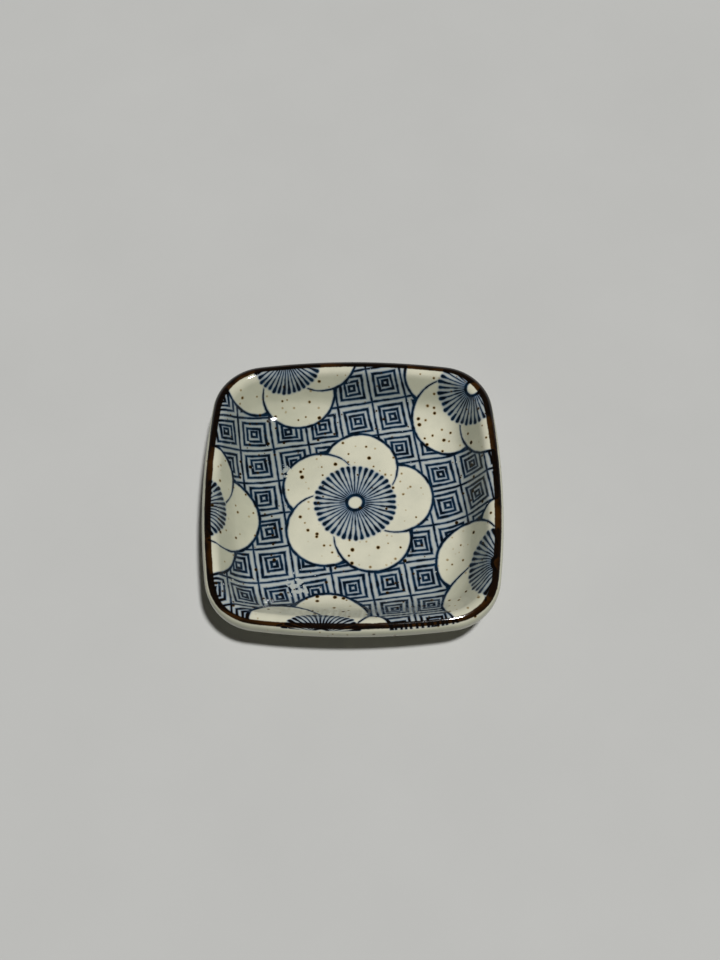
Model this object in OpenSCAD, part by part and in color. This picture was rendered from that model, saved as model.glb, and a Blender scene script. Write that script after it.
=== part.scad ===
// Small square soy sauce dish with rounded corners, bowed sides and a rolled lip.
// Press-moulded clay on a raised foot, glazed inside and out, with an iron-brown band round the lip.
// Millimetres. +Z is up, and the origin is on the table under the middle of the foot.

/* [Outline] */
// Width across the lip, from side to side
dish_w = 95; // [84:0.5:120]
// Corner radius of the lip, seen from above
lip_corner_r = 17; // [13:0.5:24]
// Radius of the gentle outward bow of each side at the lip
side_bow_r = 232; // [160:1:600]

/* [Well] */
// Depth of the floor below the crest of the lip
well_depth = 11; // [9:0.1:15]
// Slope of the inner wall, in degrees from level
wall_slope = 51; // [40:1:60]
// Radius of the curve from the floor up into the wall
well_fillet_r = 13.5; // [8:0.1:16]
// Corner radius of the floor where that curve begins
well_corner_r = 5.5; // [4:0.5:10]

/* [Lip] */
// Radius of the rolled lip, half the thickness of the wall there
lip_r = 2.8; // [1.8:0.1:3.2]
// Height of the lip's upright outer side
lip_side = 1.5; // [0.5:0.1:3]
// Inner edge of the brown band, in degrees inward from the crest
band_inner = 4; // [0:1:20]
// Outer edge of the brown band, in degrees outward from the crest
band_outer = 37; // [25:1:60]

/* [Base] */
// Thickness of the floor, glaze included
floor_t = 4.6; // [3.5:0.1:7]
// Slope of the outer wall under the lip, in degrees from level
belly_slope = 43; // [36:1:52]
// Corner radius where the rounded belly runs out flat
base_corner_r = 10; // [7:0.5:14]

/* [Foot] */
// Width across the foot
foot_w = 54; // [46:0.5:60]
// Corner radius of the foot, seen from below
foot_corner_r = 9; // [7:0.5:12]
// Height of the foot below the base
foot_h = 4.4; // [3:0.1:6]
// Thickness of the foot's wall at its root
foot_wall = 4.6; // [3.6:0.1:6]
// How far each side of the foot leans in on the way down
foot_draft = 0.5; // [0.2:0.05:0.8]
// Radius of the foot's two lower edges
foot_edge_r = 0.8; // [0.4:0.05:1]
// Flat of the base left outside the foot
foot_ledge = 1.5; // [0.5:0.1:3]

/* [Glaze] */
// Thickness of the glaze and of the band
glaze_t = 0.4; // [0.2:0.05:0.7]

/* [Smoothness] */
// Steps along each bowed side
side_steps = 6; // [4:1:10]
// Steps round each corner
corner_steps = 10; // [6:1:14]
// Steps along each curve of the profile, up the well or down the belly
curve_steps = 7; // [5:1:9]
// Steps along each short curve of the lip and of the foot's edges
lip_steps = 3; // [2:1:4]

/* [Hidden] */

base_z = foot_h;
floor_z = base_z + floor_t;
dish_h = floor_z + well_depth;
lip_half = dish_w / 2;
foot_half = foot_w / 2;

// Centre of the round lip, on the cut through the middle of a side
lip_x = lip_half - lip_r;
lip_z = dish_h - lip_r;

// The well: a straight wall that leaves the lip at wall_slope and curves out into the floor
wall_top_z = lip_z + lip_r * cos(wall_slope);
well_r = min(well_fillet_r, (wall_top_z - floor_z) / (1 - cos(wall_slope)));
wall_rise = wall_top_z - floor_z - well_r * (1 - cos(wall_slope));
floor_half = lip_x - lip_r * sin(wall_slope) - wall_rise / tan(wall_slope) - well_r * sin(wall_slope);

// The belly: a straight wall that leaves the lip at belly_slope and curves in to the flat of the base
belly_top_x = lip_x + lip_r * sin(belly_slope);
belly_top_z = lip_z - lip_side - lip_r * cos(belly_slope);
belly_len = (belly_top_z - base_z) / sin(belly_slope);
base_meet = belly_top_x - belly_len * cos(belly_slope);
belly_r = min(base_meet - foot_half - foot_ledge, belly_len) / tan(belly_slope / 2);
base_half = base_meet - belly_r * tan(belly_slope / 2);

// The ring of a section: eight arcs, four bowed sides and four corners, each tangent to the next.
// half is the section's half width, corner its corner radius and bow the radius of its sides.
function section(half, corner, bow, z) =
  let(
    side_x = bow - half,
    arm = bow - corner,
    corner_at = (sqrt(2 * arm * arm - side_x * side_x) - side_x) / 2,
    seam = atan2(corner_at, corner_at + side_x)
  )
  [for (quarter = [0:3]) each turned(quarter * 90, z, concat(
    [for (i = [0:side_steps - 1]) let(a = seam * (2 * i / side_steps - 1))
      [bow * cos(a) - side_x, bow * sin(a)]],
    [for (i = [0:corner_steps - 1]) let(a = seam + (90 - 2 * seam) * i / corner_steps)
      [corner_at + corner * cos(a), corner_at + corner * sin(a)]]
  ))];

function turned(angle, z, points) =
  [for (p = points) [p.x * cos(angle) - p.y * sin(angle), p.x * sin(angle) + p.y * cos(angle), z]];

// A profile point is [half width, height, corner radius]; its sides bow less the further in it lies.
function rings(points) = [for (p = points) section(p[0], p[2], side_bow_r - lip_half + p[0], p[1])];

function blend(x, x0, y0, x1, y1) = y0 + (y1 - y0) * (x - x0) / (x1 - x0);
function well_point(x, z) = [x, z, blend(x, floor_half, well_corner_r, lip_half, lip_corner_r)];
function belly_point(x, z) = [x, z, blend(x, base_half, base_corner_r, lip_half, lip_corner_r)];

// A stretch of the lip, by angle from its crest, for the surface that lies t under the glaze.
// Past 90 degrees it is the underside, below the upright side.
function lip_arc(from, to, t) =
  [for (i = [0:lip_steps]) let(a = from + (to - from) * i / lip_steps)
    [lip_x + (lip_r - t) * sin(a), lip_z + (lip_r - t) * cos(a) - (from < 90 ? 0 : lip_side)]];

// The three stretches of the dish's profile, t under the glazed surface: from the floor up to the
// band, across the band, and from the band over the lip and down to the foot
function well_profile(t) = [
  for (i = [0:curve_steps]) let(a = wall_slope * i / curve_steps)
    well_point(floor_half + (well_r + t) * sin(a), floor_z + well_r - (well_r + t) * cos(a)),
  for (p = lip_arc(-wall_slope, -band_inner, t)) well_point(p.x, p.y)
];
function band_profile(t) = [for (p = lip_arc(-band_inner, band_outer, t)) well_point(p.x, p.y)];
function outside_profile(t) = concat(
  [for (p = lip_arc(band_outer, 90, t)) well_point(p.x, p.y)],
  [for (p = lip_arc(90, 180 - belly_slope, t)) belly_point(p.x, p.y)],
  [for (i = [0:curve_steps]) let(a = belly_slope * (1 - i / curve_steps))
    belly_point(base_half + (belly_r - t) * sin(a), base_z + belly_r - (belly_r - t) * cos(a))],
  [[foot_half, base_z + t, foot_corner_r]]
);
function rest(list) = [for (i = [1:len(list) - 1]) list[i]];

// The foot's own closed profile, from the glaze down the outside, across its sole and up the inside
function foot_point(x, z) = [x, z, foot_corner_r - (foot_half - x)];
// One rounded lower edge, from the foot's side to its sole; side is 1 outside and -1 inside
function foot_edge(x, side) =
  [for (i = [0:lip_steps]) let(a = 90 * i / lip_steps)
    foot_point(x - side * foot_edge_r * (1 - cos(a)), foot_edge_r * (1 - sin(a)))];
foot_in = foot_half - foot_wall;
foot_profile = concat(
  [foot_point(foot_half, base_z + glaze_t), foot_point(foot_half, base_z)],
  foot_edge(foot_half - foot_draft, 1),
  [for (i = [lip_steps:-1:0]) foot_edge(foot_in + foot_draft, -1)[i]],
  [foot_point(foot_in, base_z), foot_point(foot_in, base_z + glaze_t)]
);

// Triangles between ring i and ring k of a stack, facing out when the stack runs from the floor to
// the base, or the other way when flipped. Both ways cut each patch along the same diagonal.
ring_n = 4 * (side_steps + corner_steps);
function strip(i, k, flipped = false) =
  [for (j = [0:ring_n - 1])
    let(
      next = (j + 1) % ring_n,
      a = i * ring_n + j,
      b = i * ring_n + next,
      c = k * ring_n + next,
      d = k * ring_n + j
    )
    each flipped ? [[a, c, b], [a, d, c]] : [[a, b, c], [a, c, d]]];
// The flat plate across ring i, facing up or down
function cap(i, up) = [[for (j = [0:ring_n - 1]) i * ring_n + (up ? ring_n - 1 - j : j)]];

// A solid closed by the first and the last ring of its stack
module capped(stack) {
  last = len(stack) - 1;
  polyhedron(
    points = [for (ring = stack) each ring],
    faces = concat(cap(0, true), [for (i = [0:last - 1]) each strip(i, i + 1)], cap(last, false))
  );
}

// A skin between a seen face and the back that lies against the clay. Its first edge is closed by
// the two floor plates when floored, and by a narrow strip otherwise.
module skin(face, back, floored = false) {
  n = len(face);
  polyhedron(
    points = [for (ring = concat(face, back)) each ring],
    faces = concat(
      floored ? concat(cap(0, true), cap(n, false)) : strip(0, n, true),
      [for (i = [0:n - 2]) each strip(i, i + 1)],
      [for (i = [0:n - 2]) each strip(n + i, n + i + 1, true)],
      strip(n - 1, 2 * n - 1)
    )
  );
}

// A hoop whose last ring joins its first
module hoop(stack) {
  n = len(stack);
  polyhedron(
    points = [for (ring = stack) each ring],
    faces = [for (i = [0:n - 1]) each strip(i, (i + 1) % n)]
  );
}

// The pressed clay shell: floor, wall and lip, without its glaze
module clay_body() {
  color("wheat")
    capped(rings(concat(
      well_profile(glaze_t),
      rest(band_profile(glaze_t)),
      rest(outside_profile(glaze_t))
    )));
}

// The foot, bare clay on its sole, luted to the flat of the base
module foot_ring() {
  color("burlywood")
    hoop(rings(foot_profile));
}

// The clear glaze over the printed inside, up to the band
module inside_glaze() {
  color("lightsteelblue")
    skin(rings(well_profile(0)), rings(well_profile(glaze_t)), floored = true);
}

// The glaze on the outer half of the lip and down the belly to the foot
module outside_glaze() {
  color("ivory")
    skin(rings(outside_profile(0)), rings(outside_profile(glaze_t)));
}

// The glazed floor of the hollow inside the foot
module base_glaze() {
  color("ivory")
    capped(rings([foot_point(foot_in, base_z + glaze_t), foot_point(foot_in, base_z)]));
}

// The iron-brown band round the crest and outer shoulder of the lip
module rim_band() {
  color("saddlebrown")
    skin(rings(band_profile(0)), rings(band_profile(glaze_t)));
}

clay_body();
foot_ring();
inside_glaze();
outside_glaze();
base_glaze();
rim_band();
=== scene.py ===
import math

import bpy
import numpy as np
from mathutils import Matrix, Vector


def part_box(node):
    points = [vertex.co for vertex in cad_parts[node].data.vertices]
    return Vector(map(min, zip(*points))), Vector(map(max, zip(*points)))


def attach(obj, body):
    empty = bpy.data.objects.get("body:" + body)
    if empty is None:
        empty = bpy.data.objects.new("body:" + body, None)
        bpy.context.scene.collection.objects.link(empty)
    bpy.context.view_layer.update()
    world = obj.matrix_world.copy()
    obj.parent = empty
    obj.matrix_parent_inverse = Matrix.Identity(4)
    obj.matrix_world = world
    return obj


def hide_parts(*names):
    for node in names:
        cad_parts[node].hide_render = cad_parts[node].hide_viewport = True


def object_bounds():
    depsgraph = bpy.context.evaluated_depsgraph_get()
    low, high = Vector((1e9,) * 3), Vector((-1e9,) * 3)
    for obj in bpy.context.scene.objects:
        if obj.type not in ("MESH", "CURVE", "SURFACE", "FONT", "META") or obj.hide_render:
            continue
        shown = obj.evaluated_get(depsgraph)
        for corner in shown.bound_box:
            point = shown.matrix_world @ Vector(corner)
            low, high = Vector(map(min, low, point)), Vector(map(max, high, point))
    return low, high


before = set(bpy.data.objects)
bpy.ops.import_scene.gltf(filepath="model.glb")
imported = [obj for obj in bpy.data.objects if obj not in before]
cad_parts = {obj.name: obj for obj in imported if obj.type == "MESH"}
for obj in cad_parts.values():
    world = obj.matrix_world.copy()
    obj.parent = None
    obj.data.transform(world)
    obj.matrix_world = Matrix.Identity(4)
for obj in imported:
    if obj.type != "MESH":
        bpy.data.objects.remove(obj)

cad_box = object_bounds()

# Clay body: the pressed shell with its floor, walls and rolled lip, of sandy stoneware clay.
# It is biscuit fired and then glazed all over, so it lies hidden between the skins of glaze.
MM = 0.001
CLAY_DARK = (171, 150, 118)
CLAY_LIGHT = (206, 190, 162)


class Wire:
    """A value on its way through a node tree. Arithmetic with wires adds Math nodes to that tree."""

    def __init__(self, socket):
        self.socket = socket
        self.tree = socket.id_data

    def __add__(self, other):
        return calculate(self.tree, "ADD", self, other)

    def __radd__(self, other):
        return calculate(self.tree, "ADD", other, self)

    def __sub__(self, other):
        return calculate(self.tree, "SUBTRACT", self, other)

    def __rsub__(self, other):
        return calculate(self.tree, "SUBTRACT", other, self)

    def __mul__(self, other):
        return calculate(self.tree, "MULTIPLY", self, other)

    def __rmul__(self, other):
        return calculate(self.tree, "MULTIPLY", other, self)

    def __truediv__(self, other):
        return calculate(self.tree, "DIVIDE", self, other)

    def __neg__(self):
        return calculate(self.tree, "MULTIPLY", self, -1.0)

    def __abs__(self):
        return calculate(self.tree, "ABSOLUTE", self)


def plug(value, socket):
    """Links a wire to a socket, or writes a plain value on it."""
    if isinstance(value, Wire):
        socket.id_data.links.new(value.socket, socket)
    else:
        socket.default_value = value


def add_node(tree, kind, inputs, **settings):
    node = tree.nodes.new("ShaderNode" + kind)
    for name, setting in settings.items():
        setattr(node, name, setting)
    for name, value in inputs.items():
        plug(value, node.inputs[name])
    return node


def calculate(tree, operation, *values):
    return Wire(add_node(tree, "Math", dict(enumerate(values)), operation=operation).outputs[0])


def vector(tree, operation, inputs):
    """A Vector Math node: its vector, or its value where the operation gives one number."""
    node = add_node(tree, "VectorMath", inputs, operation=operation)
    single = operation in ("LENGTH", "DISTANCE", "DOT_PRODUCT")
    return Wire(node.outputs["Value" if single else "Vector"])


def least(first, *others):
    for other in others:
        first = calculate(first.tree, "MINIMUM", first, other)
    return first


def most(first, *others):
    for other in others:
        first = calculate(first.tree, "MAXIMUM", first, other)
    return first


def fade(value, start, end):
    """0 at start, 1 at end and a smooth step between them; start may be the larger."""
    inputs = {"Value": value, "From Min": start, "From Max": end}
    node = add_node(value.tree, "MapRange", inputs, interpolation_type="SMOOTHSTEP")
    return Wire(node.outputs[0])


def noise(place, scale, detail=2.0):
    """Cloudy values about 0.5, with features about one over scale wide."""
    inputs = {"Vector": place, "Scale": scale, "Detail": detail, "Roughness": 0.55}
    return Wire(add_node(place.tree, "TexNoise", inputs).outputs[0])


def mixed(share, first, second):
    """Colour first, going over to second by share."""
    node = add_node(share.tree, "Mix", {0: share, 6: first, 7: second}, data_type="RGBA")
    return Wire(node.outputs[2])


def display(colour):
    """Scene colour of an sRGB one given as it looks, from 0 to 255."""
    parts = [part / 255 for part in colour]
    linear = [p / 12.92 if p <= 0.04045 else ((p + 0.055) / 1.055) ** 2.4 for p in parts]
    return (*linear, 1.0)


def start_material(name):
    """A new material's tree, its Principled shader and the place on the object, in millimetres."""
    material = bpy.data.materials.new(name)
    material.use_nodes = True
    tree = material.node_tree
    coordinates = tree.nodes.new("ShaderNodeTexCoord")
    inputs = {0: Wire(coordinates.outputs["Object"]), "Scale": 1 / MM}
    return material, tree, tree.nodes["Principled BSDF"], vector(tree, "SCALE", inputs)


def raise_surface(tree, shader, height, strength):
    """Bump from a height in millimetres."""
    bump = add_node(tree, "Bump", {"Strength": strength, "Distance": MM, "Height": height})
    plug(Wire(bump.outputs[0]), shader.inputs["Normal"])


def paint(piece, material):
    piece.data.materials.clear()
    piece.data.materials.append(material)


def clay_grain(place):
    """The sandy grain of the clay, coarse and fine at once."""
    return noise(place, 2.2, 6.0)


biscuit, tree, shader, place = start_material("biscuit clay")
grain = clay_grain(place)
plug(mixed(fade(grain, 0.3, 0.7), display(CLAY_DARK), display(CLAY_LIGHT)), shader.inputs["Base Color"])
plug(0.78 + 0.15 * grain, shader.inputs["Roughness"])
raise_surface(tree, shader, 0.08 * grain, 1.0)
paint(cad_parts["clay_body"], biscuit)

# Foot ring: a rounded square hoop of the same clay, luted to the flat of the base before firing.
# Its sides are dipped in glaze with the rest, and its sole is wiped bare so that it can stand in the kiln.
GLAZE_T = 0.4
FOOT_CORNER = 9.0
FOOT_WALL = 4.6
FOOT_DRAFT = 0.5
FOOT_EDGE = 0.8
FOOT_FLARE = 0.7
LIP_CORNER = 17.0
SIDE_BOW = 232.0
SIDE_STEPS = 24
CORNER_STEPS = 16
SHARP_EDGE = math.radians(50)
BAKE_SPREAD = 2.04
HIDDEN_CORNER = 0.004
HIDDEN_SHARE = 0.02
GLAZE_CREAM = (212, 209, 187)
GLAZE_GREY = (184, 184, 166)
BARE_CLAY = (196, 172, 134)
FLASHED_CLAY = (150, 98, 52)

lip_half = cad_box[1][0] / MM
foot_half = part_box("foot_ring")[1].x / MM
base_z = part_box("base_glaze")[0].z / MM
foot_in = foot_half - FOOT_WALL


def outline(half, corner):
    """One level of the dish: four bowed sides and four corners, each an arc tangent to the next."""
    bow = SIDE_BOW - lip_half + half
    side_x = bow - half
    arm = bow - corner
    corner_at = (math.sqrt(2 * arm * arm - side_x * side_x) - side_x) / 2
    seam = math.atan2(corner_at, corner_at + side_x)
    side = np.linspace(-seam, seam, SIDE_STEPS, endpoint=False)
    turn = np.linspace(seam, math.pi / 2 - seam, CORNER_STEPS, endpoint=False)
    x = np.concatenate([bow * np.cos(side) - side_x, corner_at + corner * np.cos(turn)])
    y = np.concatenate([bow * np.sin(side), corner_at + corner * np.sin(turn)])
    quarters = [(x, y), (-y, x), (-x, -y), (y, -x)]
    return np.concatenate([np.stack(quarter, axis=1) for quarter in quarters])


def rings(profile):
    """The levels of a profile of (half width, height, corner radius), as one array of points."""
    levels = []
    for half, z, corner in profile:
        flat = outline(half, corner)
        levels.append(np.column_stack([flat, np.full(len(flat), z)]))
    return np.array(levels)


def arc(x, z, radius, start, end, steps):
    """Profile points on a round about (x, z), by degrees from straight up."""
    turns = np.radians(np.linspace(start, end, steps + 1))
    return [(x + radius * math.sin(a), z + radius * math.cos(a)) for a in turns]


def unrolled(levels, aim):
    """Where each point lies on the flat sheet, and how far along its rib: the first level stays where
    it is, and each rib runs on straight from there, at its real length, towards its point on level aim."""
    edge = levels[0, :, :2]
    way = levels[aim, :, :2] - edge
    way = way / np.linalg.norm(way, axis=1, keepdims=True)
    steps = np.linalg.norm(np.diff(levels, axis=0), axis=2)
    run = np.concatenate([np.zeros((1, len(edge))), np.cumsum(steps, axis=0)])
    return edge + way * run[:, :, None], run


def strips(first, second):
    """Quads between two rows of point numbers that each close on themselves."""
    return np.stack([first, second, np.roll(second, -1), np.roll(first, -1)], axis=1).tolist()


def finished_piece(name, points, faces, seen, sheet, from_crest, node):
    """A closed mesh that stands for a node. seen is how many of the faces, from the first, can be seen."""
    mesh = bpy.data.meshes.new(name)
    mesh.from_pydata((points * MM).tolist(), [], faces)
    mesh.shade_smooth()
    mesh.set_sharp_from_angle(angle=SHARP_EDGE)
    sheet = np.column_stack([sheet, np.zeros(len(sheet))]).astype(np.float32)
    mesh.attributes.new("sheet", "FLOAT_VECTOR", "POINT").data.foreach_set("vector", sheet.ravel())
    crest = mesh.attributes.new("from_crest", "FLOAT", "POINT")
    crest.data.foreach_set("value", from_crest.astype(np.float32))
    # The bake map is the sheet itself. Faces that lie against the clay go into one small corner of it.
    spread = np.abs(sheet).max() * BAKE_SPREAD
    flat = sheet[:, :2] / spread + 0.5
    layer = mesh.uv_layers.new(name="OFBake")
    for polygon in mesh.polygons:
        for loop in polygon.loop_indices:
            spot = flat[mesh.loops[loop].vertex_index]
            if polygon.index >= seen:
                spot = HIDDEN_CORNER + HIDDEN_SHARE * spot
            layer.uv[loop].vector = spot
    piece = bpy.data.objects.new(name, mesh)
    bpy.context.scene.collection.objects.link(piece)
    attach(piece, "root")
    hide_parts(node)
    return piece


def foot_level(point):
    return (*point, FOOT_CORNER - (foot_half - point[0]))


inner_side = foot_in + FOOT_DRAFT + FOOT_EDGE
outer_side = foot_half - FOOT_DRAFT - FOOT_EDGE
foot_profile = [
    (foot_in - FOOT_FLARE, base_z + GLAZE_T),
    *arc(foot_in - FOOT_FLARE, base_z - FOOT_FLARE, FOOT_FLARE, 0, 82, 6),
    *arc(inner_side, FOOT_EDGE, FOOT_EDGE, 270, 180, 8),
    *arc(outer_side, FOOT_EDGE, FOOT_EDGE, 180, 90, 8),
    *arc(foot_half + FOOT_FLARE, base_z - FOOT_FLARE, FOOT_FLARE, -82, 0, 6),
    (foot_half + FOOT_FLARE, base_z + GLAZE_T),
]
foot_rings = rings([foot_level(point) for point in foot_profile])
foot_sheet, foot_run = unrolled(foot_rings, -1)
ribs = foot_rings.shape[1]
numbers = np.arange(foot_rings.shape[0] * ribs).reshape(-1, ribs)
foot_faces = [face for upper, lower in zip(numbers, numbers[1:]) for face in strips(upper, lower)]
foot_seen = len(foot_faces)
foot_faces += strips(numbers[-1], numbers[0])
foot = finished_piece(
    "foot", foot_rings.reshape(-1, 3), [face[::-1] for face in foot_faces], foot_seen,
    foot_sheet.reshape(-1, 2), foot_run.ravel(), "foot_ring",
)


def start_group(name, inputs, outputs):
    """A shader node group with named sockets, given as name and kind."""
    group = bpy.data.node_groups.new(name, "ShaderNodeTree")
    for socket, kind in inputs.items():
        group.interface.new_socket(socket, in_out="INPUT", socket_type="NodeSocket" + kind)
    for socket, kind in outputs.items():
        group.interface.new_socket(socket, in_out="OUTPUT", socket_type="NodeSocket" + kind)
    source = group.nodes.new("NodeGroupInput")
    target = group.nodes.new("NodeGroupOutput")
    return group, {socket: Wire(source.outputs[socket]) for socket in inputs}, target.inputs


def place_group(tree, group, inputs):
    node = tree.nodes.new("ShaderNodeGroup")
    node.node_tree = group
    for name, value in inputs.items():
        plug(value, node.inputs[name])
    return {socket.name: Wire(socket) for socket in node.outputs}


def split(value):
    """The three parts of a vector."""
    return [Wire(part) for part in add_node(value.tree, "SeparateXYZ", {0: value}).outputs]


def joined(tree, *parts):
    """A vector of up to three parts."""
    return Wire(add_node(tree, "CombineXYZ", dict(enumerate(parts))).outputs[0])


# Clear glaze lies a little thicker here and thinner there.
# It clouds the colour, and its skin is not quite flat.
uneven_glaze, given, out = start_group(
    "uneven glaze", {"Place": "Vector"}, {"Cloud": "Float", "Roughness": "Float", "Height": "Float"}
)
cloud = noise(given["Place"], 0.11, 4.0)
peel = noise(given["Place"], 0.7, 1.0)
plug(fade(cloud, 0.25, 0.75), out["Cloud"])
plug(0.05 + 0.05 * peel, out["Roughness"])
plug(0.12 * cloud + 0.008 * peel, out["Height"])

# Iron grains in the clay melt through the glaze as dark specks, each with a brown rim and an amber halo.
# On the ink of the print a speck is black all over.
SPECK_HEART = (28, 17, 0)
SPECK_RIM = (84, 59, 8)
SPECK_HALO = (148, 118, 56)
iron_specks, given, out = start_group(
    "iron specks",
    {"Place": "Vector", "Spacing": "Float", "Largest": "Float", "Colour": "Color", "Ink": "Float"},
    {"Colour": "Color"},
)
spread = joined(iron_specks, given["Spacing"], given["Spacing"], given["Spacing"])
cells = vector(iron_specks, "DIVIDE", {0: given["Place"], 1: spread})
grains = add_node(iron_specks, "TexVoronoi", {"Vector": cells, "Scale": 1.0})
chance = Wire(add_node(iron_specks, "SeparateColor", {0: Wire(grains.outputs["Color"])}).outputs[0])
reach = given["Largest"] * (0.3 + 0.7 * chance * chance)
ragged = 0.25 * noise(given["Place"], 2.5, 2.0) - 0.125
edge = Wire(grains.outputs["Distance"]) * given["Spacing"] + ragged - reach
halo = fade(edge, 0.28, 0.0) * (1.0 - given["Ink"])
colour = mixed(0.65 * halo, given["Colour"], display(SPECK_HALO))
core = mixed(most(fade(edge, -0.08, -0.24), given["Ink"]), display(SPECK_RIM), display(SPECK_HEART))
plug(mixed(fade(edge, 0.06, -0.1), colour, core), out["Colour"])


def speckled(tree, place, colour, spacing, largest, ink=0.0):
    """colour with the iron specks on it."""
    inputs = {"Place": place, "Spacing": spacing, "Largest": largest, "Colour": colour, "Ink": ink}
    return place_group(tree, iron_specks, inputs)["Colour"]


foot_glaze, tree, shader, place = start_material("foot, glazed with a bare sole")
glaze = place_group(tree, uneven_glaze, {"Place": place})
level = split(place)[2]
wiped = level + 0.5 * noise(place, 0.35, 3.0)
bare = fade(wiped, 0.95, 0.8)
flashed = fade(wiped, 1.5, 0.95)
grain = clay_grain(place)
body = mixed(grain, display(FLASHED_CLAY), display(BARE_CLAY))
body = mixed(fade(wiped, 0.55, 0.95) * 0.8, display(BARE_CLAY), body)
skin = mixed(glaze["Cloud"], display(GLAZE_GREY), display(GLAZE_CREAM))
skin = mixed(0.55 * flashed, skin, display(FLASHED_CLAY))
skin = speckled(tree, place, skin, spacing=3.0, largest=0.55)
plug(mixed(bare, skin, body), shader.inputs["Base Color"])
plug(glaze["Roughness"] + bare * (0.6 + 0.15 * grain), shader.inputs["Roughness"])
raise_surface(tree, shader, glaze["Height"] + bare * (0.1 * grain - 0.12), 1.0)
paint(foot, foot_glaze)

# Base glaze: the glazed floor of the hollow inside the foot, where the glaze lies thick and grey.
# It is dipped with the rest of the dish, and the solid from the frame already has its flat shape.
base_skin, tree, shader, place = start_material("base glaze")
glaze = place_group(tree, uneven_glaze, {"Place": place})
colour = mixed(glaze["Cloud"], display(GLAZE_GREY), display(GLAZE_CREAM))
plug(speckled(tree, place, colour, spacing=3.4, largest=0.6), shader.inputs["Base Color"])
plug(glaze["Roughness"], shader.inputs["Roughness"])
raise_surface(tree, shader, glaze["Height"], 1.0)
paint(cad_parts["base_glaze"], base_skin)

# Inside glaze: the clear glaze over the printed floor and walls, up to the brown band.
# The print is a cobalt transfer laid on the biscuit: plum blossoms on a ground of nested squares.
WALL_SLOPE = 51.0
WELL_FILLET = 13.5
WELL_CORNER = 5.5
LIP_R = 2.8
LIP_SIDE = 1.5
BAND_INNER = 4.0
BAND_OUTER = 37.0
BELLY_SLOPE = 43.0
BASE_CORNER = 10.0
FOOT_LEDGE = 1.5
WALL_STEPS = 8

floor_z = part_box("inside_glaze")[0].z / MM + GLAZE_T
lip_x = lip_half - LIP_R
lip_z = cad_box[1][2] / MM - LIP_R
slope = math.radians(WALL_SLOPE)
wall_rise = lip_z + LIP_R * math.cos(slope) - floor_z - WELL_FILLET * (1 - math.cos(slope))
floor_half = lip_x - (LIP_R + WELL_FILLET) * math.sin(slope) - wall_rise / math.tan(slope)
belly = math.radians(BELLY_SLOPE)
belly_drop = lip_z - LIP_SIDE - LIP_R * math.cos(belly) - base_z
base_meet = lip_x + LIP_R * math.sin(belly) - belly_drop / math.tan(belly)
base_half = foot_half + FOOT_LEDGE
belly_r = (base_meet - base_half) / math.tan(belly / 2)


def between(start, end, steps):
    """Profile points on the straight stretch between two points, without its ends."""
    shares = np.linspace(0, 1, steps + 1)[1:-1]
    return [(start[0] + s * (end[0] - start[0]), start[1] + s * (end[1] - start[1])) for s in shares]


def with_corners(points, inner_half, inner_corner):
    """Adds each point's corner radius, which opens evenly from the inner half width to the lip."""
    opening = (LIP_CORNER - inner_corner) / (lip_half - inner_half)
    return [(x, z, inner_corner + opening * (x - inner_half)) for x, z in points]


def dish_rings(depth):
    """The dish's levels from the edge of the floor, over the lip and down to the foot, depth under
    the glaze, with the numbers of the two levels at the edges of the band and of the outermost one."""
    fillet = arc(floor_half, floor_z + WELL_FILLET, WELL_FILLET + depth, 180, 180 - WALL_SLOPE, 20)
    inner_lip = arc(lip_x, lip_z, LIP_R - depth, -WALL_SLOPE, -BAND_INNER, 16)
    band = arc(lip_x, lip_z, LIP_R - depth, -BAND_INNER, BAND_OUTER, 14)
    outer_lip = arc(lip_x, lip_z, LIP_R - depth, BAND_OUTER, 90, 16)
    under_lip = arc(lip_x, lip_z - LIP_SIDE, LIP_R - depth, 90, 180 - BELLY_SLOPE, 14)
    run_out = arc(base_half, base_z + belly_r, belly_r - depth, 180 - BELLY_SLOPE, 180, 18)
    well = fillet + between(fillet[-1], inner_lip[0], WALL_STEPS) + inner_lip
    top = well + band[1:] + outer_lip[1:]
    below = under_lip + between(under_lip[-1], run_out[0], WALL_STEPS) + run_out
    profile = with_corners(top, floor_half, WELL_CORNER) + with_corners(below, base_half, BASE_CORNER)
    profile.append((foot_half, base_z + depth, FOOT_CORNER))
    marks = (len(well) - 1, len(well) + len(band) - 2, len(top) - 1)
    return rings(profile), marks


face_rings, (band_start, band_end, widest) = dish_rings(0)
back_rings = dish_rings(GLAZE_T)[0]
dish_sheet, dish_run = unrolled(face_rings, widest)
crest_level = band_start + int(np.argmax(face_rings[band_start:band_end, 0, 2]))
dish_crest = dish_run - dish_run[crest_level]


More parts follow.
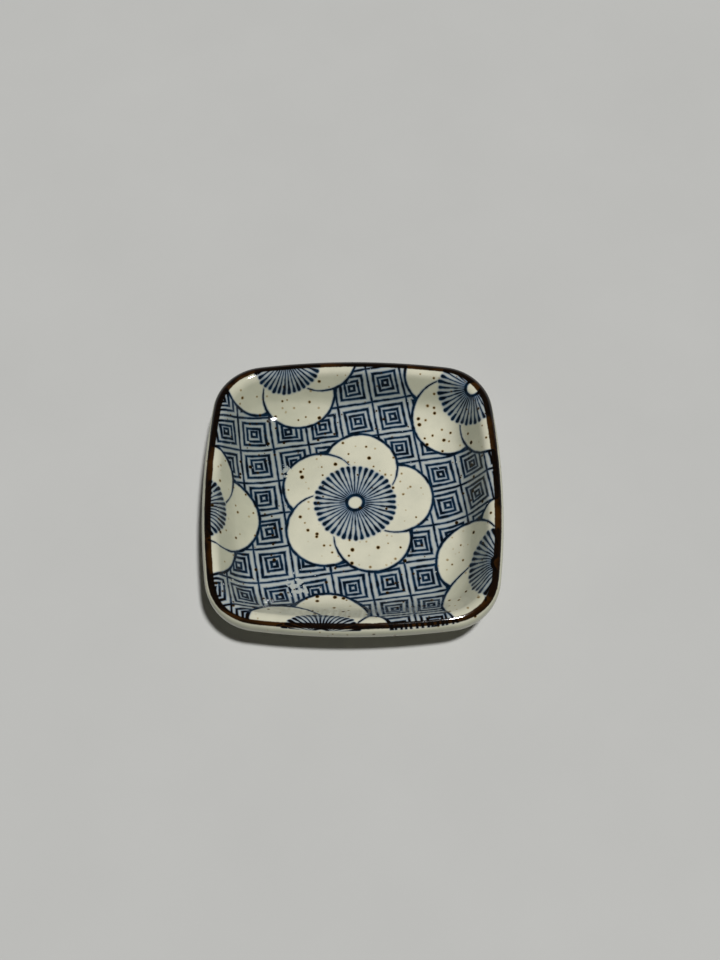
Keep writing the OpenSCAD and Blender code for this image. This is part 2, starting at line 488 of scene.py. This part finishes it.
def floor_patch(ring, numbers, first_new):
    """Fills a level with a grid of quads whose corners lie on the middles of its round corners.
    Gives the new points inside it and the quads, by point number."""
    count = len(ring) // 4
    start = SIDE_STEPS + CORNER_STEPS // 2
    ring = np.roll(ring, -start, axis=0)
    numbers = np.roll(numbers, -start)
    span = np.arange(count + 1)
    near, right, far, left = [(side * count + span) % len(ring) for side in range(4)]
    far = far[::-1]
    left = left[::-1]
    grid = np.full((count + 1, count + 1), -1)
    grid[0, :] = numbers[near]
    grid[:, count] = numbers[right]
    grid[count, :] = numbers[far]
    grid[:, 0] = numbers[left]
    grid[1:-1, 1:-1] = first_new + np.arange((count - 1) ** 2).reshape(count - 1, count - 1)
    share = np.linspace(0, 1, count + 1)
    u = share[None, :, None]
    v = share[:, None, None]
    ends = (1 - v) * ring[near][None] + v * ring[far][None]
    ends = ends + (1 - u) * ring[left][:, None] + u * ring[right][:, None]
    c00, c10, c01, c11 = ring[near[0]], ring[near[-1]], ring[far[0]], ring[far[-1]]
    corners = (1 - u) * (1 - v) * c00 + u * (1 - v) * c10 + (1 - u) * v * c01 + u * v * c11
    points = (ends - corners)[1:-1, 1:-1].reshape(-1, 3)
    quads = np.stack([grid[:-1, :-1], grid[:-1, 1:], grid[1:, 1:], grid[1:, :-1]], axis=-1)
    return points, quads.reshape(-1, 4).tolist()


def skin_piece(name, first, last, node, floored=False):
    """A skin of glaze from one level of the dish to another: the face that is seen, the back that lies
    against the clay and what joins their edges. A floored one is filled across its first level."""
    face = face_rings[first:last + 1]
    back = back_rings[first:last + 1]
    count = face.shape[0] * ribs
    upper = np.arange(count).reshape(-1, ribs)
    lower = upper + count
    points = [face.reshape(-1, 3), back.reshape(-1, 3)]
    sheet = [dish_sheet[first:last + 1].reshape(-1, 2)] * 2
    crest = [dish_crest[first:last + 1].ravel()] * 2
    faces = [quad for a, b in zip(upper, upper[1:]) for quad in strips(a, b)]
    hidden = [quad[::-1] for a, b in zip(lower, lower[1:]) for quad in strips(a, b)]
    hidden += strips(upper[-1], lower[-1])
    if floored:
        for ring, numbers, quads, flip in ((face[0], upper[0], faces, 1), (back[0], lower[0], hidden, -1)):
            inside, patch = floor_patch(ring, numbers, sum(len(group) for group in points))
            points.append(inside)
            sheet.append(inside[:, :2])
            crest.append(np.full(len(inside), dish_crest[0].max()))
            quads += [quad[::flip] for quad in patch]
    else:
        hidden += strips(lower[0], upper[0])
    return finished_piece(
        name, np.concatenate(points), faces + hidden, len(faces),
        np.concatenate(sheet), np.concatenate(crest), node,
    )


well_skin = skin_piece("well_glaze", 0, band_start, "inside_glaze", floored=True)

# One plum blossom of the print: five petals, each lying over the one before it, and a disc of stamens.
# Its petals are not all alike, so each has its own shift outward and sideways and its own size.
PETALS = 5
PETAL_LINE = 0.8
FOLD_LINE = 0.3
STAMENS = 40
STALK_LINE = 0.39
HEAD_R = 0.58
EYE_R = 2.2
EYE_LINE = 1.05
PETAL_INPUTS = ["Petal %d" % petal for petal in range(PETALS)]
plum_blossom, given, out = start_group(
    "plum blossom",
    {
        "Sheet": "Vector", "Pen": "Float", "Centre": "Vector", "Turn": "Float",
        **{name: "Vector" for name in PETAL_INPUTS},
        "Disc Centre": "Vector", "Disc Reach": "Float", "Disc Turn": "Float", "Eye Centre": "Vector",
    },
    {"Inside": "Float", "Disc": "Float", "Gap": "Float", "Wash": "Float"},
)


def about(point, centre, turn):
    """How far a point lies from a centre, and its angle there from turn on."""
    offset = vector(point.tree, "SUBTRACT", {0: point, 1: centre})
    x, y = split(offset)[:2]
    return vector(point.tree, "LENGTH", {0: offset}), calculate(point.tree, "ARCTAN2", y, x) - turn


def from_circle(x, y, centre_x, centre_y, size):
    """How far a point lies outside a circle."""
    step = joined(x.tree, x - centre_x, y - centre_y)
    return vector(x.tree, "LENGTH", {0: step}) - size


sector = 2 * math.pi / PETALS
radius, angle = about(given["Sheet"], given["Centre"], given["Turn"])
order = calculate(plum_blossom, "FLOOR", angle / sector)
within = angle - order * sector
across = radius * calculate(plum_blossom, "COSINE", within)
along = radius * calculate(plum_blossom, "SINE", within)


def from_petal(order, turn):
    """How far the point lies outside a petal that is turned that far from the start of the sector."""
    number = calculate(plum_blossom, "FLOORED_MODULO", order, PETALS)
    shape = (0.0, 0.0, 0.0)
    for petal, name in enumerate(PETAL_INPUTS):
        chosen = calculate(plum_blossom, "COMPARE", number, petal, 0.5)
        part = vector(plum_blossom, "SCALE", {0: given[name], "Scale": chosen})
        shape = vector(plum_blossom, "ADD", {0: shape, 1: part})
    outward, aside, size = split(shape)
    x = outward * math.cos(turn) - aside * math.sin(turn)
    y = outward * math.sin(turn) + aside * math.cos(turn)
    return from_circle(across, along, x, y, size)


lower_petal = from_petal(order, 0.0)
upper_petal = from_petal(order + 1.0, sector)
outer_pen = PETAL_LINE / 2 + 0.25 * fade(upper_petal, 3.0, 0.2)
under_line = most(abs(lower_petal) - outer_pen * given["Pen"], -upper_petal - 0.1)
tapered = 0.7 * fade(lower_petal, -8.0, -1.0) + 0.3 * fade(lower_petal, -0.4, 0.4)
upper_pen = FOLD_LINE / 2 + (PETAL_LINE - FOLD_LINE) / 2 * tapered
upper_line = abs(upper_petal) - upper_pen * given["Pen"]
petal_line = calculate(plum_blossom, "SMOOTH_MIN", upper_line, under_line, 0.5)
radius, angle = about(given["Sheet"], given["Disc Centre"], given["Disc Turn"])
short = given["Disc Reach"] - radius
petal_gap = most(petal_line, short + 0.3)
turns = angle * (STAMENS / (2 * math.pi)) + 0.5
stalk = abs(calculate(plum_blossom, "FRACT", turns) - 0.5) * radius * (2 * math.pi / STAMENS)
index = calculate(plum_blossom, "FLOOR", turns)
luck = Wire(add_node(plum_blossom, "TexWhiteNoise", {"W": index}, noise_dimensions="1D").outputs[0])
stalk_half = STALK_LINE / 2 * (0.65 + 0.35 * fade(radius, 3.0, 7.5))
stalk_half = stalk_half + (HEAD_R - STALK_LINE / 2) * fade(short, 3.9, 0.3)
past_head = most(HEAD_R - short + 0.6 * luck, 0.0)
from_stalk = vector(plum_blossom, "LENGTH", {0: joined(plum_blossom, stalk, past_head)})
from_eye = vector(plum_blossom, "DISTANCE", {0: given["Sheet"], 1: given["Eye Centre"]}) - EYE_R
stamen_gap = most(from_stalk - stalk_half * (0.6 + 0.4 * given["Pen"]), -from_eye)
eye_gap = abs(from_eye - EYE_LINE / 2) - EYE_LINE / 2
round_eye = fade(from_eye, 0.0, 0.3)
plug(most(fade(least(lower_petal, upper_petal), 0.1, -0.1), fade(radius, 6.0, 5.0)), out["Inside"])
plug(fade(short, -0.5, 1.3) * round_eye, out["Disc"])
plug(least(petal_gap, stamen_gap, eye_gap), out["Gap"])
plug(fade(radius, 8.5, 2.5) * round_eye, out["Wash"])

# The ground of the print: a turned grid of cells, each with three squares nested inside it.
GRID_PITCH = 11.56
GRID_TURNS = (math.radians(9.67), math.radians(98.8))
GRID_CROSSING = (-25.9, 19.7, 0.0)
GRID_LINE = 0.64
SQUARE_LINE = 0.79
SQUARES = (7.7, 4.55, 1.8)
SQUARE_STRAY = 0.45
SQUARE_TILT = 0.09
nested_squares, given, out = start_group("nested squares", {"Sheet": "Vector"}, {"Gap": "Float"})
offset = vector(nested_squares, "SUBTRACT", {0: given["Sheet"], 1: GRID_CROSSING})
steps = []
for turn in GRID_TURNS:
    way = (math.cos(turn) / GRID_PITCH, math.sin(turn) / GRID_PITCH, 0.0)
    steps.append(vector(nested_squares, "DOT_PRODUCT", {0: offset, 1: way}))
cell = joined(nested_squares, *steps)
number = vector(nested_squares, "FLOOR", {0: cell})
inside_cell = split(vector(nested_squares, "FRACTION", {0: cell}))
from_middle = [(spot - 0.5) * GRID_PITCH for spot in inside_cell[:2]]
gaps = [GRID_PITCH / 2 - most(abs(from_middle[0]), abs(from_middle[1])) - GRID_LINE / 2]
for order, size in enumerate(SQUARES):
    inputs = {"Vector": number, "W": float(order)}
    luck = add_node(nested_squares, "TexWhiteNoise", inputs, noise_dimensions="4D")
    lucks = add_node(nested_squares, "SeparateColor", {0: Wire(luck.outputs["Color"])})
    stray = [SQUARE_STRAY * (Wire(lucks.outputs[axis]) - 0.5) for axis in range(2)]
    tilt = SQUARE_TILT * (Wire(lucks.outputs[2]) - 0.5)
    x = from_middle[0] + stray[0] + tilt * from_middle[1]
    y = from_middle[1] + stray[1] - tilt * from_middle[0]
    gaps.append(abs(most(abs(x), abs(y)) - size / 2) - SQUARE_LINE / 2)
plug(least(*gaps), out["Gap"])

# The whole transfer. It was cut a little larger than the band, furthest at the front, and its lines
# wander, thin out and break where the paper did not take.
PLAIN_PETAL = (13.0, 0.0, 12.3)
# Each blossom as fitted to the photograph, to 0.1 mm: its centre, its turn in degrees, its petals where they
# are not plain, its disc's centre, reach and turn, and how far its eye lies off the middle of the disc
BLOSSOMS = (
    (
        (0.7, 0.4), 8.4,
        {
            0: (13.2, -0.2, 12.1), 1: (12.8, 0.4, 12.1), 2: (12.4, 0.2, 12.1),
            3: (13.4, 0.2, 12.5), 4: (12.9, -0.1, 12.4),
        },
        (0.7, 0.4), 13.4, 1.1, (0.0, 0.0),
    ),
    ((41.7, 38.9), 6.0, {3: (12.4, 0.2, 13.0), 4: (14.1, -0.1, 11.6)}, (42.2, 39.1), 13.4, 0.4, (0.0, 0.0)),
    ((-23.2, 51.9), 4.1, {0: (12.1, 0.0, 12.5)}, (-23.4, 50.7), 12.2, 0.1, (0.0, 0.0)),
    (
        (-55.1, -7.1), 4.4,
        {0: (12.2, -0.4, 13.2), 1: (12.4, -0.6, 11.9), 4: (12.2, 0.0, 12.9)},
        (-54.3, -7.1), 12.2, 8.3, (0.0, 0.0),
    ),
    (
        (-10.3, -56.9), 6.9,
        {0: (11.7, -2.1, 11.0), 1: (12.8, 0.0, 13.2), 2: (14.0, -1.2, 11.8)},
        (-10.4, -59.2), 13.1, 0.0, (0.0, 0.0),
    ),
    (
        (49.9, -27.2), 8.0,
        {1: (13.0, -1.4, 12.0), 2: (13.4, -0.4, 12.0), 3: (12.7, 1.4, 13.7)},
        (50.1, -27.2), 13.3, 2.5, (-0.9, 0.3),
    ),
)
# Places on the sheet where the print wore off, each with its reach
WORN_SPOTS = ((-17.5, -28.6, 6.5), (-22.0, 12.0, 4.0))
WANDER = 0.6
WANDER_SCALE = 0.14
CREASE_SHARE = 0.7
CREASE_START = 42.0
cobalt_print, given, out = start_group(
    "cobalt print", {"Sheet": "Vector", "From Crest": "Float"},
    dict.fromkeys(("Ink", "Bleed", "Pooled", "Ground", "Under", "Wash"), "Float"),
)
wander = add_node(
    cobalt_print, "TexNoise", {"Vector": given["Sheet"], "Scale": WANDER_SCALE, "Detail": 3.0}
)
centred = vector(cobalt_print, "SUBTRACT", {0: Wire(wander.outputs["Color"]), 1: (0.5, 0.5, 0.5)})
drawn = vector(cobalt_print, "MULTIPLY_ADD", {0: centred, 1: (WANDER, WANDER, 0.0), 2: given["Sheet"]})
across, up = split(given["Sheet"])[:2]
# The paper was pressed together along the front, below the lip
at_front = fade(across, 26.0, 16.0)
pen_width = 1.0 + 0.5 * at_front * fade(up, -32.0, -37.0)
creased = CREASE_SHARE * most(-up - CREASE_START, 0.0) * at_front
pressed = vector(cobalt_print, "SUBTRACT", {0: drawn, 1: joined(cobalt_print, 0.0, creased)})
blossoms = []
for centre, turn, petals, disc_centre, disc_reach, disc_turn, eye in BLOSSOMS:
    blossoms.append(place_group(cobalt_print, plum_blossom, {
        "Sheet": pressed, "Pen": pen_width, "Centre": (*centre, 0.0), "Turn": math.radians(turn),
        **{name: petals.get(petal, PLAIN_PETAL) for petal, name in enumerate(PETAL_INPUTS)},
        "Disc Centre": (*disc_centre, 0.0), "Disc Reach": disc_reach, "Disc Turn": math.radians(disc_turn),
        "Eye Centre": (disc_centre[0] + eye[0], disc_centre[1] + eye[1], 0.0),
    }))
inside = most(*[blossom["Inside"] for blossom in blossoms])
disc = most(*[blossom["Disc"] for blossom in blossoms])
wash = most(*[blossom["Wash"] for blossom in blossoms])
# Towards the front the squares slid a little further out than the blossoms, and to the left
slid = fade(up, -33.0, -43.0)
laid = vector(cobalt_print, "ADD", {0: drawn, 1: joined(cobalt_print, 0.4 * slid, 0.65 * slid)})
squares = place_group(cobalt_print, nested_squares, {"Sheet": laid})
missed = []
for x, y, size in WORN_SPOTS:
    away = vector(cobalt_print, "DISTANCE", {0: given["Sheet"], 1: (x, y, 0.0)})
    missed.append(fade(away, size, 0.0))
ragged = noise(given["Sheet"], 0.45, 2.0)
worn = fade(ragged - 0.28 * most(*missed), 0.3, 0.24)
pooled = fade(noise(given["Sheet"], 0.3, 2.0), 0.38, 0.66)
pen = 0.2 * noise(given["Sheet"], 0.5, 2.0) - 0.07 - 0.12 * pooled
ground_gap = squares["Gap"] + 9.0 * inside
gap = least(ground_gap, *[blossom["Gap"] for blossom in blossoms]) + 0.6 * worn + pen
below_lip = fade(up, -44.0, -50.0) * fade(abs(across - 6.0), 31.0, 30.0)
ink_end = fade(given["From Crest"] - 1.5 * below_lip, 1.3, 1.0)
ground_end = fade(given["From Crest"], 1.4, 0.8)
plug(fade(gap, 0.1, -0.14) * ink_end, out["Ink"])
plug(fade(gap, 0.5, -0.1) * ink_end, out["Bleed"])
plug(pooled, out["Pooled"])
ground = most(1.0 - inside, 0.95 * disc)
plug(ground * ground_end, out["Ground"])
plug(ground * fade(given["From Crest"] - 1.8 * fade(up, -46.0, -40.0), 1.4, 0.8), out["Under"])
plug(wash * ground_end, out["Wash"])

# The brown of the lip: an iron wash brushed round the crest, thin and amber inside and thick outside.
iron_wash, given, out = start_group(
    "iron wash", {"Place": "Vector", "From Crest": "Float"}, {"Band": "Float", "Thick": "Float"}
)
brush = noise(given["Place"], 0.25, 3.0) - 0.5
fine = noise(given["Place"], 1.4, 2.0) - 0.5
right, away = split(given["Place"])[:2]
front = fade(away, -30.0, -40.0)
slip = front * (0.35 + 0.7 * fade(right, -6.0, -28.0) + 0.25 * fade(right, 14.0, 34.0))
stray = 0.8 * fade(away, 12.0, 34.0) + 0.5 * fade(right, 30.0, 44.0)
stray = stray + 0.3 * fade(right, -30.0, -44.0) + 0.5 * slip
inner_edge = given["From Crest"] + math.radians(BAND_INNER) * LIP_R + 0.5 * brush + 0.2 * fine - slip
outer_edge = math.radians(BAND_OUTER) * LIP_R - given["From Crest"] + 0.4 * brush + 0.2 * fine + stray
plug(fade(least(inner_edge, outer_edge), -0.2, 0.15), out["Band"])
run = noise(given["Place"], 0.07, 2.0) - 0.5
amber = 0.3 * fade(away, -24.0, -36.0) * fade(right, -20.0, -34.0)
thick = 0.05 + 0.25 * inner_edge + 1.0 * brush + 2.2 * run - amber
plug(fade(thick, -0.1, 0.7), out["Thick"])

# All of the glazed surface that the print and the band can reach: the glaze, what lies under it and on it,
# and a painted shade.
GLAZE_IOR = 1.44
# Grey of the painted shade, as of thicker glaze
SHADE_TINT = (0.70, 0.72, 0.69, 1.0)
# Painted shade on the sheet, laid on as pools of thicker glaze, each pool with its reach and its depth
SHADE_POOLS = ((-30.0, 24.0, 33.0, 1.0), (-38.0, -5.0, 26.0, 1.0), (39.0, -30.0, 21.0, 0.85))
GROUND_GREY = (164, 170, 167)
COBALT = (7, 36, 58)
COBALT_POOLED = (2, 12, 23)
COBALT_BLEED = (26, 77, 118)
IRON_THIN = (52, 29, 4)
IRON_THICK = (7, 3, 1)
decorated_glaze, given, out = start_group(
    "decorated glaze",
    {
        "Place": "Vector", "Sheet": "Vector", "From Crest": "Float",
        "Speck Spacing": "Float", "Speck Size": "Float",
    },
    {"Colour": "Color", "Roughness": "Float", "Height": "Float"},
)
glaze = place_group(decorated_glaze, uneven_glaze, {"Place": given["Place"]})
printed = place_group(decorated_glaze, cobalt_print, {name: given[name] for name in ("Sheet", "From Crest")})
wash = place_group(decorated_glaze, iron_wash, {name: given[name] for name in ("Place", "From Crest")})
colour = mixed(0.5 * glaze["Cloud"], display(GLAZE_CREAM), display(GLAZE_GREY))
colour = mixed(0.85 * printed["Ground"], colour, display(GROUND_GREY))
colour = mixed(0.72 * most(printed["Wash"], printed["Bleed"]), colour, display(COBALT_BLEED))
scorched = fade(abs(given["From Crest"] - 0.8), 2.4, 1.2)
cobalt = mixed(printed["Pooled"], display(COBALT), display(COBALT_POOLED))
colour = mixed(printed["Ink"], colour, mixed(scorched, cobalt, display(IRON_THICK)))
colour = speckled(
    decorated_glaze, given["Place"], colour, given["Speck Spacing"], given["Speck Size"],
    most(printed["Ink"], 0.7 * printed["Ground"]),
)
# Painted shade, given as glaze that ran down from the lip as it melted and lies thicker and greyer: a grey
# tint darkens the walls and the curve above the floor, less at the front, the outside under the roll of the
# lip, and three pools on the floor curve.
up = split(given["Sheet"])[1]
shaded_wall = fade(given["From Crest"], -1.6, -4.0) * fade(given["From Crest"], -16.0, -10.0)
shaded_wall = shaded_wall * (1.0 - 0.6 * fade(up, -30.0, -40.0))
# run_out here is the painted shade on the outside under the roll of the lip
run_out = fade(given["From Crest"], 1.8, 3.6) * fade(given["From Crest"], 14.0, 8.0)
painted_shade = most(shaded_wall, run_out)
# Pools of painted shade on the floor curve
for x, y, size, depth in SHADE_POOLS:
    shade_pool = vector(decorated_glaze, "DISTANCE", {0: given["Sheet"], 1: (x, y, 0.0)})
    painted_shade = most(painted_shade, depth * fade(shade_pool, size, 0.12 * size))
shaded = add_node(
    decorated_glaze, "Mix", {0: painted_shade, 6: colour, 7: SHADE_TINT}, data_type="RGBA", blend_type="MULTIPLY"
)
colour = Wire(shaded.outputs[2])
iron_share = most(wash["Thick"], 0.9 * printed["Under"], printed["Bleed"])
iron = mixed(iron_share, display(IRON_THIN), display(IRON_THICK))
plug(mixed(wash["Band"], colour, iron), out["Colour"])
plug(glaze["Roughness"], out["Roughness"])
plug(glaze["Height"], out["Height"])


def decorated_material(name, speck_spacing, speck_size):
    """A material of the decorated glaze, which reads where it is from the piece's own attributes."""
    material, tree, shader, place = start_material(name)
    sheet = add_node(tree, "Attribute", {}, attribute_name="sheet")
    crest = add_node(tree, "Attribute", {}, attribute_name="from_crest")
    surface = place_group(tree, decorated_glaze, {
        "Place": place,
        "Sheet": Wire(sheet.outputs["Vector"]),
        "From Crest": Wire(crest.outputs["Fac"]),
        "Speck Spacing": speck_spacing,
        "Speck Size": speck_size,
    })
    plug(surface["Colour"], shader.inputs["Base Color"])
    plug(surface["Roughness"], shader.inputs["Roughness"])
    shader.inputs["IOR"].default_value = GLAZE_IOR
    raise_surface(tree, shader, surface["Height"], 1.0)
    return material


paint(well_skin, decorated_material("printed glaze", speck_spacing=2.75, speck_size=0.66))

# Rim band: the iron-brown band round the crest and the outer shoulder of the lip.
# It is brushed on over the print with a thick iron wash, and melts into the glaze on both sides.
rim = skin_piece("lip_band", band_start, band_end, "rim_band")
paint(rim, decorated_material("iron band", speck_spacing=3.0, speck_size=0.5))

# Outside glaze: the plain cream glaze on the outer side of the lip and down the belly to the foot.
# The dish is dipped in it, so that it runs on from the band without a join.
# Its material also carries the painted shade on the outside under the roll of the lip.
outside = skin_piece("belly_glaze", band_end, len(face_rings) - 1, "outside_glaze")
paint(outside, decorated_material("plain glaze", speck_spacing=3.4, speck_size=0.55))

# Table: a plain pale floor, far wider than the view, that takes the dish's shadow.
# It is a matte board with a faint cloud in its colour.
FLOOR_SIZE = 6.0
FLOOR_PALE = (193, 193, 190)
FLOOR_SHADE = (186, 186, 183)
FLOOR_ROUGHNESS = 0.7
FLOOR_SHINE = 0.2
mesh = bpy.data.meshes.new("table")
corner = FLOOR_SIZE / 2
corners = [(-corner, -corner, 0), (corner, -corner, 0), (corner, corner, 0), (-corner, corner, 0)]
mesh.from_pydata(corners, [], [(0, 1, 2, 3)])
table = bpy.data.objects.new("table", mesh)
bpy.context.scene.collection.objects.link(table)
board, tree, shader, place = start_material("pale board")
tone = noise(place, 0.02, 4.0)
plug(mixed(tone, display(FLOOR_SHADE), display(FLOOR_PALE)), shader.inputs["Base Color"])
shader.inputs["Roughness"].default_value = FLOOR_ROUGHNESS
shader.inputs["Specular IOR Level"].default_value = FLOOR_SHINE
# Seen from underneath the board is clear, so that it does not hide the foot.
side = tree.nodes.new("ShaderNodeNewGeometry")
clear = tree.nodes.new("ShaderNodeBsdfTransparent")
sided = tree.nodes.new("ShaderNodeMixShader")
plug(Wire(side.outputs["Backfacing"]), sided.inputs[0])
plug(Wire(shader.outputs[0]), sided.inputs[1])
plug(Wire(clear.outputs[0]), sided.inputs[2])
plug(Wire(sided.outputs[0]), tree.nodes["Material Output"].inputs["Surface"])
paint(table, board)

# Light: one distant soft lamp almost overhead, a little to the right, in a studio with pale walls.
# Its ceiling is dim, so that the glaze mirrors little light over the print.
LAMP_WAY = Vector((0.18, -0.08, 0.98)).normalized()
LAMP_WIDTH = math.radians(5.0)
LAMP_STRENGTH = 3.0
WALLS = 0.5
CEILING = 0.05
FILL = 0.035
light = bpy.data.lights.new("lamp", "SUN")
light.angle = LAMP_WIDTH
light.energy = LAMP_STRENGTH
lamp = bpy.data.objects.new("lamp", light)
lamp.rotation_euler = LAMP_WAY.to_track_quat("Z", "Y").to_euler()
bpy.context.scene.collection.objects.link(lamp)
world = bpy.data.worlds.new("studio")
bpy.context.scene.world = world
world.use_nodes = True
tree = world.node_tree
way = tree.nodes.new("ShaderNodeTexCoord")
upward = split(Wire(way.outputs["Generated"]))[2]
walls = (WALLS, WALLS, WALLS, 1.0)
ceiling = (CEILING, CEILING, CEILING, 1.0)
seen = mixed(fade(upward, 0.02, 0.35), walls, ceiling)
rays = tree.nodes.new("ShaderNodeLightPath")
straight_rays = ("Is Camera Ray", "Is Glossy Ray", "Is Transmission Ray")
straight = most(*[Wire(rays.outputs[ray]) for ray in straight_rays])
plug(mixed(straight, (FILL, FILL, FILL, 1.0), seen), tree.nodes["Background"].inputs["Color"])

# Camera: held above the front edge of the dish, looking down at it.
# Its lens, distance and turns were fitted to the rim of the dish in the photograph.
CAMERA_TARGET = Vector((2.28, 3.4, 19.44)) * MM
CAMERA_FAR = 443.5 * MM
CAMERA_UP = math.radians(64.09)
CAMERA_TURN = math.radians(0.37)
CAMERA_ROLL = math.radians(0.25)
LENS = 52.626
SENSOR = 36.0
level = math.cos(CAMERA_UP)
back = Vector((-math.sin(CAMERA_TURN) * level, -math.cos(CAMERA_TURN) * level, math.sin(CAMERA_UP)))
view = bpy.data.cameras.new("camera")
view.lens = LENS
view.sensor_width = SENSOR
camera = bpy.data.objects.new("camera", view)
camera.matrix_world = (
    Matrix.Translation(CAMERA_TARGET + back * CAMERA_FAR)
    @ back.to_track_quat("Z", "Y").to_matrix().to_4x4()
    @ Matrix.Rotation(CAMERA_ROLL, 4, "Z")
)
bpy.context.scene.collection.objects.link(camera)
bpy.context.scene.camera = camera
bpy.context.scene.view_settings.view_transform = "Standard"
